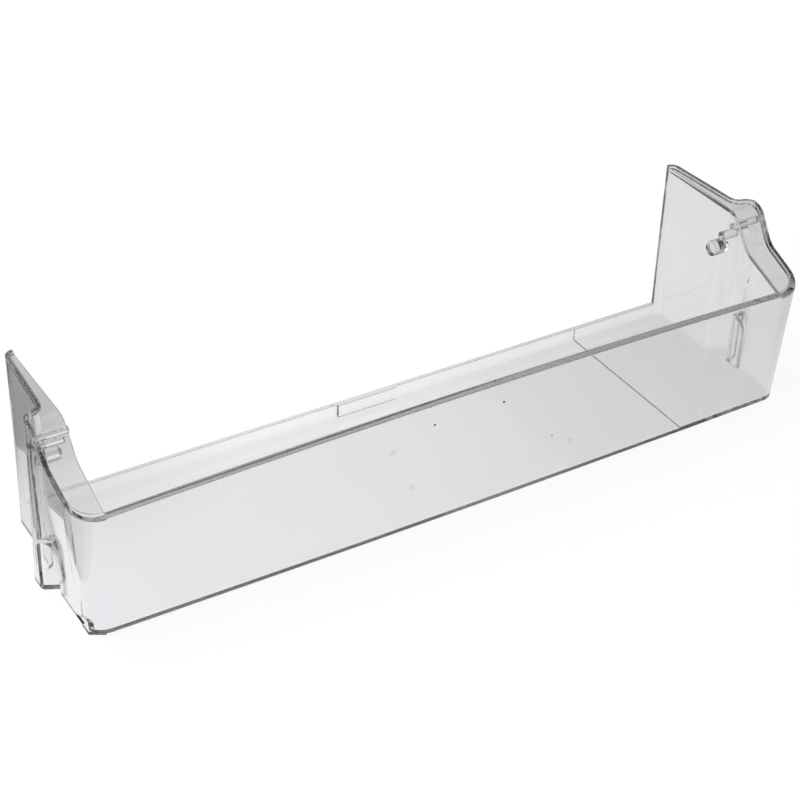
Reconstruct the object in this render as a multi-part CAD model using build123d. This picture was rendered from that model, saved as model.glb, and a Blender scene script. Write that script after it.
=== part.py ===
from build123d import *
import os
from math import hypot, radians, tan

# Fridge door shelf, one clear moulding. Millimetres, +Z up, front wall towards -Y.
# The origin is the middle of the flat underside.

# Overall sizes
length = 470.0
depth = 120.6
wing_height = 110.0
rail_height = 79.0
rail_crown = 5.0
front_bow = 1.6
upstand_height = 10.0

# Moulding: the front wall is the thickest
wall = 2.5
front_wall = 5.0
floor_thickness = 2.0
foot_chamfer = 1.4
draft = 3.8
front_draft = 3.4
rear_draft = 1.0

# Sides: the back half is set in, and a hood reaches in over each side
hood_width = 19.0
side_step = 10.5
rear_run = 57.0
rear_toe = 2.9
step_run = 12.5

# Hood line in side view, from the front rail up to the top of the wing
waist_run = 36.5
waist_height = 91.0
shoulder_run = 51.0
nose_radius = 8.0
waist_radius = 15.0
shoulder_radius = 12.0
rim_lip = 1.0

# Hanging slot in the outside of each wing
slot_mouth = 11.0
slot_depth = 9.0
slot_height = 34.0
slot_back = 63.0
slot_rake = 27.0

# Clearance notch through the left side wall, upright in front and sloping down to the floor behind,
# and the square toe of the floor that stands out under its front end
notch_run = 11.8
notch_length = 15.2
notch_height = 8.2
notch_radius = 2.0
toe_run = 10.4
toe_length = 8.0
toe_rise = 4.6

# Studs on each wing: distance behind the front, height, diameter
studs = [(67.5, 77.0, 9.6), (59.5, 89.8, 5.8), (51.2, 100.4, 4.4)]
stud_reach = 1.8

# Raised bay of the floor and the thick middle of the upstand
bay_length = 63.0
bay_rise = 0.5
pad_length = 40.0
pad_rise = 1.6

# Values that follow from the sizes above
lean = tan(radians(draft))
front_lean = tan(radians(front_draft))
rear_lean = tan(radians(rear_draft))
x_out = length / 2
x_open = x_out - hood_width
y_front = front_bow - depth / 2
y_back = depth / 2
slot_y = (y_back - slot_back - slot_mouth, y_back - slot_back)
slot_mid = (slot_y[0] + slot_y[1]) / 2
x_slot = x_out - slot_depth
over = 10.0
round_pull = 0.5523


def arc_about(centre, radius, start, end):
    # Circular edge round a centre, through the direction halfway between its two ends.
    mid = ((start[0] + end[0]) / 2 - centre[0], (start[1] + end[1]) / 2 - centre[1])
    size = hypot(*mid)
    through = (centre[0] + mid[0] * radius / size, centre[1] + mid[1] * radius / size)
    return ThreePointArc(start, through, end)


def side_edges(z, inset, front_inset):
    # Plan of the right-hand side at height z, set in from the outer skin: front corner, leaning side,
    # flare out to the upright pillar, double bend in to the back part, back corner.
    drop = wing_height - z
    x_side = x_out - drop * lean
    x_rear = x_out - side_step - drop * rear_lean
    x_heel = x_rear - rear_toe * z / wing_height
    heel = x_heel - x_open
    bend = (step_run ** 2 + (x_out - x_rear) ** 2) / (4 * (x_out - x_rear))
    y_nose = y_front + (rail_height + rail_crown - z) * front_lean
    y_face = y_nose + front_inset
    y_corner = y_nose + x_side - x_open
    pull_x = round_pull * (x_side - inset - x_open)
    pull_y = round_pull * (y_corner - y_face)
    y_step = y_back - rear_run + drop * lean
    bulge = (x_out - bend, y_step - step_run / 2)
    hollow = (x_rear + bend, y_step + step_run / 2)
    share = (bend - inset) / (2 * bend)
    middle = (bulge[0] + (hollow[0] - bulge[0]) * share, bulge[1] + (hollow[1] - bulge[1]) * share)
    side_a = (x_side - inset, y_corner)
    side_b = (x_side - inset, slot_y[0])
    pillar_a = (x_out - inset, slot_y[1])
    pillar_b = (x_out - inset, bulge[1])
    rear_a = (x_rear - inset, hollow[1])
    rear_b = (x_heel - inset, y_back - heel)
    return [
        Bezier((x_open, y_face), (x_open + pull_x, y_face), (side_a[0], y_corner - pull_y), side_a),
        Line(side_a, side_b),
        Bezier(side_b, (side_b[0], slot_mid), (pillar_a[0], slot_mid), pillar_a),
        Line(pillar_a, pillar_b),
        arc_about(bulge, bend - inset, pillar_b, middle),
        arc_about(hollow, bend + inset, middle, rear_a),
        Line(rear_a, rear_b),
        arc_about((x_open, y_back - heel), heel - inset, rear_b, (x_open, y_back - inset)),
    ], y_face, y_back - inset


def outline(z, inset, front_inset):
    right, y_a, y_b = side_edges(z, inset, front_inset)
    left = [mirror(edge, about=Plane.YZ) for edge in right]
    bow = ThreePointArc((-x_open, y_a), (0, y_a - front_bow), (x_open, y_a))
    back = Line((x_open, y_b), (-x_open, y_b))
    return Pos(0, 0, z) * make_face([bow, back] + right + left)


def inner_outline(z):
    return outline(z, wall, front_wall)


def both_sides(shape):
    return shape + mirror(shape, about=Plane.YZ)


# Outer and inner skins of the tray
foot = outline(0, foot_chamfer, foot_chamfer)
skin = loft([foot, outline(foot_chamfer, 0, 0), outline(wing_height, 0, 0)], ruled=True)
cavity = loft([inner_outline(floor_thickness), inner_outline(wing_height)], ruled=True)

# Hood line: level at the rail, a gentle rise, a steep rise, level along the top
hood_line = FilletPolyline(
    (y_front - over, rail_height),
    (y_front + front_wall, rail_height),
    (y_front + waist_run, waist_height),
    (y_front + shoulder_run, wing_height),
    (y_back + over, wing_height),
    radius=[nose_radius, waist_radius, shoulder_radius],
)
below = Polyline(
    (y_back + over, wing_height),
    (y_back + over, -over),
    (y_front - over, -over),
    (y_front - over, rail_height),
)
side_shape = make_face(hood_line.edges() + below.edges())
wing_block = extrude(Plane.YZ.offset(x_open) * side_shape, amount=x_out - x_open + over)

# Front wall top: a shallow crown between the two hoods
crown_arc = ThreePointArc((-x_open, rail_height), (0, rail_height + rail_crown), (x_open, rail_height))
crown_base = Polyline((x_open, rail_height), (x_open, -over), (-x_open, -over), (-x_open, rail_height))
crown_shape = make_face(crown_arc.edges() + crown_base.edges())
front_block = extrude(Plane.XZ * crown_shape, amount=depth, both=True)

# Walls and floor, trimmed to the hood line and the crown, open at the back above the upstand
tray = (skin - cavity) & (front_block + both_sides(wing_block))
back_gap = Pos(0, y_back, upstand_height) * Box(
    2 * x_open, 4 * wall, wing_height, align=(Align.CENTER, Align.CENTER, Align.MIN)
)
tray = tray - back_gap

# Hood over each side, a little below the rim of the wall
hood_shape = Pos(0, -rim_lip) * (side_shape - offset(side_shape, amount=-wall))
hood = extrude(Plane.YZ.offset(x_open) * hood_shape, amount=x_out - x_open + over) & skin
tray = tray + both_sides(hood)

# Raised bay of the floor at the right, carried up the inside of the upstand
bay = Box(length, depth, floor_thickness + bay_rise, align=(Align.MIN, Align.CENTER, Align.MIN))
bay_up = Pos(0, y_back, 0) * Box(
    bay_length, wall + bay_rise, upstand_height, align=(Align.MIN, Align.MAX, Align.MIN)
)
tray = tray + ((Pos(x_open - bay_length, 0, 0) * (bay + bay_up)) & skin)

# Thick middle of the upstand
pad = Pos(0, y_back, 0) * Box(
    pad_length, wall + pad_rise, upstand_height, align=(Align.CENTER, Align.MAX, Align.MIN)
)
tray = tray + pad

# Studs, from the hood opening across to the outer wall
for run, height, size in studs:
    rod = Pos(x_open - stud_reach, y_front + run, height) * Rot(0, 90, 0) * Cylinder(
        size / 2, x_out, align=(Align.CENTER, Align.CENTER, Align.MIN)
    )
    tray = tray + both_sides(rod & skin)

# Hanging slot: a round-topped channel in the outer face, its back side raked, walled off from the inside
rake = tan(radians(slot_rake))
slot_plan = make_face(
    Polyline(
        (x_slot, slot_y[0]),
        (x_out + over, slot_y[0]),
        (x_out + over, slot_y[1] + over * rake),
        (x_slot, slot_y[1] - slot_depth * rake),
        close=True,
    )
)
crest = slot_height - slot_mouth / 2
slot_side = make_face(
    Polyline((slot_y[0], crest), (slot_y[0], -over), (slot_y[1], -over), (slot_y[1], crest)).edges()
    + ThreePointArc((slot_y[1], crest), (slot_mid, slot_height), (slot_y[0], crest)).edges()
)


def slot_block(margin):
    # The channel, or with a margin the material that walls it in.
    plan = offset(slot_plan, amount=margin, kind=Kind.INTERSECTION) if margin else slot_plan
    side = offset(slot_side, amount=margin) if margin else slot_side
    upright = extrude(Pos(0, 0, -over) * plan, amount=wing_height)
    across = extrude(Plane.YZ.offset(x_open) * side, amount=x_out)
    return upright & across


tray = tray + both_sides(slot_block(wall) & skin)
tray = tray - both_sides(slot_block(0))

# Clearance notch in the left side wall, just above the floor
notch_line = FilletPolyline((0, 0), (0, notch_height), (notch_length, 0), radius=notch_radius)
notch_foot = Line((notch_length, 0), (0, 0))
notch_face = make_face(notch_line.edges() + notch_foot.edges())
notch_shape = Pos(y_front + notch_run, floor_thickness) * notch_face
notch = extrude(Plane.YZ.offset(x_open + wall) * notch_shape, amount=x_out)
tray = tray - mirror(notch, about=Plane.YZ)

# Square toe of the floor under the front end of the notch
x_toe = wing_height * lean - x_out
y_toe = y_front + toe_run
toe_plan = make_face(
    Polyline(
        (x_toe, y_toe),
        (x_toe + toe_length, y_toe - toe_rise),
        (x_toe + toe_length, y_toe + toe_length),
        (x_toe, y_toe + toe_length),
        close=True,
    )
)
tray = tray + extrude(toe_plan, amount=floor_thickness)

os.makedirs("parts", exist_ok=True)
export_step(tray, "parts/door_shelf.step")
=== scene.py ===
import bmesh
import bpy
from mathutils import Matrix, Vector


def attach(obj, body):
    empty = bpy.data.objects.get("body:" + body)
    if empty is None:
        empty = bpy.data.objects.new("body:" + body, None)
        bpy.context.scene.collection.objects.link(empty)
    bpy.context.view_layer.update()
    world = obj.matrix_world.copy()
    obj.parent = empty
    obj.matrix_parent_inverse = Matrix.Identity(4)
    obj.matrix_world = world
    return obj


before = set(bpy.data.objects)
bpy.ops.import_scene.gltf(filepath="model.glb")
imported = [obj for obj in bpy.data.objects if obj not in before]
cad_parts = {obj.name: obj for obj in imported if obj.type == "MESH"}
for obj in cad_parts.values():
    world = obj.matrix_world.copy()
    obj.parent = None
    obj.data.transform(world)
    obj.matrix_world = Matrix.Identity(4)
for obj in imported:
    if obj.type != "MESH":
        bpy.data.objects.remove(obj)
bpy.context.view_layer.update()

# The shelf is one injection moulding in clear polystyrene, polished by the tool on every face.
# The plastic has a faint grey-lilac cast that shows where light runs along a wall, a slight haze in
# the polish, softly rounded edges and the fine scuffs of use. Nothing is fixed to it.
polystyrene_ior = 1.57
polish_roughness = (0.012, 0.045)
haze_scale = 14.0
haze_band = (0.35, 0.7)
clear = (0.985, 0.982, 0.985, 1.0)
clouded = (0.97, 0.968, 0.973, 1.0)
edge_radius = 0.001
scuff_grey = (0.6, 0.59, 0.59, 1.0)
scuff_share = (0.8, 0.0)
scuffs = (
    ((-0.0387, -0.0571, 0.0315), 0.0025),
    ((-0.0526, -0.0588, 0.0605), 0.003),
    ((0.0675, -0.0567, 0.0256), 0.0025),
)
cast_grey = (0.5, 0.475, 0.49, 1.0)
cast_density = 16.0
light_bounces = 40


def new_finish(name):
    finish = bpy.data.materials.new(name)
    finish.use_nodes = True
    return finish, finish.node_tree


def graded(tree, value, band, levels, ease="LINEAR"):
    # A value that goes from one level to the other across a band, and is held beyond both ends.
    grade = tree.nodes.new("ShaderNodeMapRange")
    grade.interpolation_type = ease
    for socket, number in zip(("From Min", "From Max", "To Min", "To Max"), (*band, *levels)):
        grade.inputs[socket].default_value = number
    tree.links.new(value, grade.inputs["Value"])
    return grade.outputs["Result"]


def toned(tree, share, tone):
    # A colour that turns to the tone by a share; its base colour is set by the caller.
    mix = tree.nodes.new("ShaderNodeMix")
    mix.data_type = "RGBA"
    mix.inputs["B"].default_value = tone
    tree.links.new(share, mix.inputs["Factor"])
    return mix


def distance_from(tree, place, spot):
    away = tree.nodes.new("ShaderNodeVectorMath")
    away.operation = "DISTANCE"
    away.inputs[1].default_value = spot
    tree.links.new(place.outputs["Object"], away.inputs[0])
    return away.outputs["Value"]


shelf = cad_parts["door_shelf"]
plastic, tree = new_finish("clear_polystyrene")
shell = tree.nodes["Principled BSDF"]
shell.inputs["Transmission Weight"].default_value = 1.0
shell.inputs["IOR"].default_value = polystyrene_ior
place = tree.nodes.new("ShaderNodeTexCoord")
haze = tree.nodes.new("ShaderNodeTexNoise")
haze.inputs["Scale"].default_value = haze_scale
haze.inputs["Detail"].default_value = 3.0
tree.links.new(place.outputs["Object"], haze.inputs["Vector"])
tree.links.new(graded(tree, haze.outputs["Fac"], haze_band, polish_roughness), shell.inputs["Roughness"])
cloud = toned(tree, haze.outputs["Fac"], clouded)
cloud.inputs["A"].default_value = clear
worn = cloud.outputs["Result"]
for spot, reach in scuffs:
    share = graded(tree, distance_from(tree, place, spot), (0.0, reach), scuff_share)
    mark = toned(tree, share, scuff_grey)
    tree.links.new(worn, mark.inputs["A"])
    worn = mark.outputs["Result"]
tree.links.new(worn, shell.inputs["Base Color"])
soft_edge = tree.nodes.new("ShaderNodeBevel")
soft_edge.samples = 4
soft_edge.inputs["Radius"].default_value = edge_radius
tree.links.new(soft_edge.outputs["Normal"], shell.inputs["Normal"])
cast = tree.nodes.new("ShaderNodeVolumeAbsorption")
cast.inputs["Color"].default_value = cast_grey
cast.inputs["Density"].default_value = cast_density
tree.links.new(cast.outputs["Volume"], tree.nodes["Material Output"].inputs["Volume"])
shelf.data.materials.clear()
shelf.data.materials.append(plastic)
# Light runs down inside the front wall by many mirror bounces before it leaves at the foot.
for bounces in ("max_bounces", "transmission_bounces", "glossy_bounces"):
    setattr(bpy.context.scene.cycles, bounces, light_bounces)

# Three dark specks on the outside of the front wall, grit pressed into the surface in use.
# Each is a flat lens, half sunk in the plastic; the largest is 1.6 mm wide and stands 0.2 mm proud.
grit_dark = (0.05, 0.048, 0.046, 1.0)
grit_pale = (0.12, 0.115, 0.11, 1.0)
grit_flatness = (1.0, 0.25, 0.8)
specks = (
    ((-0.02715, -0.05947, 0.07045), 0.0008),
    ((0.01738, -0.05949, 0.07049), 0.0008),
    ((0.05386, -0.05724, 0.03418), 0.00055),
)


def set_out(name, shape, finish):
    # The object of a finished shape, at the origin, in one finish.
    piece = bpy.data.objects.new(name, bpy.data.meshes.new(name))
    bpy.context.scene.collection.objects.link(piece)
    shape.to_mesh(piece.data)
    shape.free()
    piece.data.materials.append(finish)
    return piece


speck_grey, tree = new_finish("speck_grey")
grit = tree.nodes["Principled BSDF"]
grit.inputs["Roughness"].default_value = 0.7
place = tree.nodes.new("ShaderNodeTexCoord")
grain = tree.nodes.new("ShaderNodeTexNoise")
grain.inputs["Scale"].default_value = 3000.0
tree.links.new(place.outputs["Object"], grain.inputs["Vector"])
dull = toned(tree, grain.outputs["Fac"], grit_pale)
dull.inputs["A"].default_value = grit_dark
tree.links.new(dull.outputs["Result"], grit.inputs["Base Color"])
for number, (spot, reach) in enumerate(specks, 1):
    dot = bmesh.new()
    bmesh.ops.create_icosphere(dot, subdivisions=2, radius=reach)
    bmesh.ops.scale(dot, vec=grit_flatness, verts=dot.verts)
    bmesh.ops.translate(dot, vec=spot, verts=dot.verts)
    speck = set_out(f"speck_{number}", dot, speck_grey)
    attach(speck, "root")

# Plain pale paper under the shelf, wide enough that no edge of it shows from any side.
# The camera sees it white with a faint shadow. Through and in the plastic it shows painted light instead:
# an emission painted to fall off to the right, as under a window at the left, with a painted shade behind
# the left wing.
paper_reach = 6.0
paper_top = -0.0004
paper_colour = (0.85, 0.85, 0.85, 1.0)
painted_fall_direction = (1.0, -0.4, 0.0)
painted_fall_band = (-0.2, 0.6)
painted_fall_start = (0.985, 0.975, 1.0, 1.0)
painted_fall_end = (0.3, 0.295, 0.297, 1.0)
painted_fall_stops = ((0.25, 0.93), (0.4, 0.85), (0.5, 0.79), (0.575, 0.77), (0.7, 0.66))
shade_spot = (-0.2, 0.16, 0.0)
shade_reach = 0.17
shade_levels = (0.55, 1.0)
white_band = (0.3, 1.5)
white_levels = (0.9, 1.0)
shadow_share = (0.2, 0.2, 0.2, 1.0)

paper_white, tree = new_finish("paper_white")
tree.nodes.clear()
place = tree.nodes.new("ShaderNodeTexCoord")
ray = tree.nodes.new("ShaderNodeLightPath")
slant = tree.nodes.new("ShaderNodeVectorMath")
slant.operation = "DOT_PRODUCT"
slant.inputs[1].default_value = painted_fall_direction
tree.links.new(place.outputs["Object"], slant.inputs[0])
# Painted light fall-off: the paper's emission seen in the plastic dims towards the right.
painted_fall_off = tree.nodes.new("ShaderNodeValToRGB")
painted_fall_off.color_ramp.elements[0].color = painted_fall_start
painted_fall_off.color_ramp.elements[1].color = painted_fall_end
for stop_place, level in painted_fall_stops:
    stop = painted_fall_off.color_ramp.elements.new(stop_place)
    stop.color = (level, 0.995 * level, level, 1.0)
tree.links.new(graded(tree, slant.outputs["Value"], painted_fall_band, (0.0, 1.0)), painted_fall_off.inputs["Fac"])
# Painted shade: the paper's emission seen in the plastic is darker near a spot behind the left wing.
shade = graded(tree, distance_from(tree, place, shade_spot), (0.0, shade_reach), shade_levels, "SMOOTHSTEP")
painted_light_in_plastic = tree.nodes.new("ShaderNodeEmission")
tree.links.new(painted_fall_off.outputs["Color"], painted_light_in_plastic.inputs["Color"])
tree.links.new(shade, painted_light_in_plastic.inputs["Strength"])
matt = tree.nodes.new("ShaderNodeBsdfDiffuse")
matt.inputs["Color"].default_value = paper_colour
through = tree.nodes.new("ShaderNodeMath")
through.operation = "MAXIMUM"
tree.links.new(ray.outputs["Is Transmission Ray"], through.inputs[0])
tree.links.new(ray.outputs["Is Glossy Ray"], through.inputs[1])
lit = tree.nodes.new("ShaderNodeMixShader")
tree.links.new(through.outputs["Value"], lit.inputs["Fac"])
tree.links.new(matt.outputs["BSDF"], lit.inputs[1])
tree.links.new(painted_light_in_plastic.outputs["Emission"], lit.inputs[2])
seen_plain = tree.nodes.new("ShaderNodeEmission")
outward = distance_from(tree, place, (0.0, 0.0, 0.0))
tree.links.new(graded(tree, outward, white_band, white_levels), seen_plain.inputs["Strength"])
shadowed = tree.nodes.new("ShaderNodeBsdfDiffuse")
shadowed.inputs["Color"].default_value = shadow_share
seen_white = tree.nodes.new("ShaderNodeAddShader")
tree.links.new(seen_plain.outputs["Emission"], seen_white.inputs[0])
tree.links.new(shadowed.outputs["BSDF"], seen_white.inputs[1])
shown = tree.nodes.new("ShaderNodeMixShader")
tree.links.new(ray.outputs["Is Camera Ray"], shown.inputs["Fac"])
tree.links.new(lit.outputs["Shader"], shown.inputs[1])
tree.links.new(seen_white.outputs["Shader"], shown.inputs[2])
surface = tree.nodes.new("ShaderNodeOutputMaterial")
tree.links.new(shown.outputs["Shader"], surface.inputs["Surface"])
sheet = bmesh.new()
bmesh.ops.create_grid(sheet, x_segments=1, y_segments=1, size=paper_reach)
bmesh.ops.translate(sheet, vec=(0.0, 0.0, paper_top), verts=sheet.verts)
paper = set_out("studio_paper", sheet, paper_white)

# Dark grey card that lies on the paper at the left, as a photographer of glass sets it. It is a painted
# dark reflection: an emitting sheet that only mirror images in the plastic show, and it gives the left wing
# its grey.
painted_reflection_tone = (0.06, 0.057, 0.059, 1.0)
lying_height = -0.0002
lying_corners = ((-1.4, -0.5), (-1.4, 1.0), (-0.14, 1.0), (-0.317, -0.5))


def cut_card(name, corners):
    # A flat card that the camera, the paper and the shadows leave out.
    cut = bmesh.new()
    cut.faces.new([cut.verts.new(corner) for corner in corners])
    piece = set_out(name, cut, painted_reflection_grey)
    piece.visible_camera = False
    piece.visible_diffuse = False
    piece.visible_shadow = False
    return piece


painted_reflection_grey, tree = new_finish("painted_reflection_grey")
tree.nodes.clear()
# Painted dark reflection: a faint grey emission that only rays after a mirror bounce see; all other rays
# pass through.
grey = tree.nodes.new("ShaderNodeEmission")
grey.inputs["Color"].default_value = painted_reflection_tone
unseen = tree.nodes.new("ShaderNodeBsdfTransparent")
ray = tree.nodes.new("ShaderNodeLightPath")
mirrored = tree.nodes.new("ShaderNodeMath")
mirrored.operation = "GREATER_THAN"
mirrored.inputs[1].default_value = 0.5
tree.links.new(ray.outputs["Glossy Depth"], mirrored.inputs[0])
in_mirror = tree.nodes.new("ShaderNodeMixShader")
tree.links.new(mirrored.outputs["Value"], in_mirror.inputs["Fac"])
tree.links.new(unseen.outputs["BSDF"], in_mirror.inputs[1])
tree.links.new(grey.outputs["Emission"], in_mirror.inputs[2])
surface = tree.nodes.new("ShaderNodeOutputMaterial")
tree.links.new(in_mirror.outputs["Shader"], surface.inputs["Surface"])
card = cut_card("painted_reflection_card", [(x, y, lying_height) for x, y in lying_corners])

# Dark flag of the same card, standing like a wall at the right, outside the picture. It is a painted dark
# reflection: the edges of the right wing mirror it and so draw darker.
standing_x = 0.75
standing_corners = ((-0.5, 0.0), (1.2, 0.0), (1.2, 0.8), (-0.5, 0.8))
flag = cut_card("painted_reflection_flag", [(standing_x, y, z) for y, z in standing_corners])

# Studio room: white behind the object for the camera and low down for what shows through the
# plastic, dim grey above, so that the edges of the clear walls draw dark.
dim_band = (0.1, 0.3)
dim_levels = (0.9, 0.28)
room = bpy.data.worlds.new("studio_room")
bpy.context.scene.world = room
room.use_nodes = True
tree = room.node_tree
tree.nodes.clear()
look = tree.nodes.new("ShaderNodeTexCoord")
height = tree.nodes.new("ShaderNodeSeparateXYZ")
tree.links.new(look.outputs["Generated"], height.inputs["Vector"])
wall_light = tree.nodes.new("ShaderNodeBackground")
walls = graded(tree, height.outputs["Z"], dim_band, dim_levels, "SMOOTHSTEP")
tree.links.new(walls, wall_light.inputs["Strength"])
backdrop = tree.nodes.new("ShaderNodeBackground")
ray = tree.nodes.new("ShaderNodeLightPath")
seen = tree.nodes.new("ShaderNodeMixShader")
tree.links.new(ray.outputs["Is Camera Ray"], seen.inputs["Fac"])
tree.links.new(wall_light.outputs["Background"], seen.inputs[1])
tree.links.new(backdrop.outputs["Background"], seen.inputs[2])
room_out = tree.nodes.new("ShaderNodeOutputWorld")
tree.links.new(seen.outputs["Shader"], room_out.inputs["Surface"])

# Two square soft boxes on stands, as in a small product studio, both turned to the shelf.
# The large one hangs high at the left behind the shelf, the small one stands at the left.
lit_middle = (0.0, 0.0, 0.05)
for name, spot, size, power in (
    ("overhead_box", (-0.6, 0.5, 1.7), 1.4, 11.0),
    ("left_box", (-1.5, -0.3, 0.9), 0.7, 4.0),
):
    lamp = bpy.data.lights.new(name, "AREA")
    lamp.size = size
    lamp.energy = power
    box = bpy.data.objects.new(name, lamp)
    bpy.context.scene.collection.objects.link(box)
    box.location = spot
    box.rotation_euler = (Vector(lit_middle) - Vector(spot)).to_track_quat("-Z", "Y").to_euler()

# Camera at the photograph's angle: from the left front, looking down, through a long lens.
# Its place and turn were fitted to the edges of the shelf in the photograph.
lens = bpy.data.cameras.new("camera")
lens.sensor_width = 36.0
lens.lens = 89.1
camera = bpy.data.objects.new("camera", lens)
bpy.context.scene.collection.objects.link(camera)
camera.location = (-0.50425, -0.78238, 0.68356)
camera.rotation_euler = (0.96655, -0.02555, -0.54372)
bpy.context.scene.camera = camera
bpy.context.scene.view_settings.view_transform = "Standard"
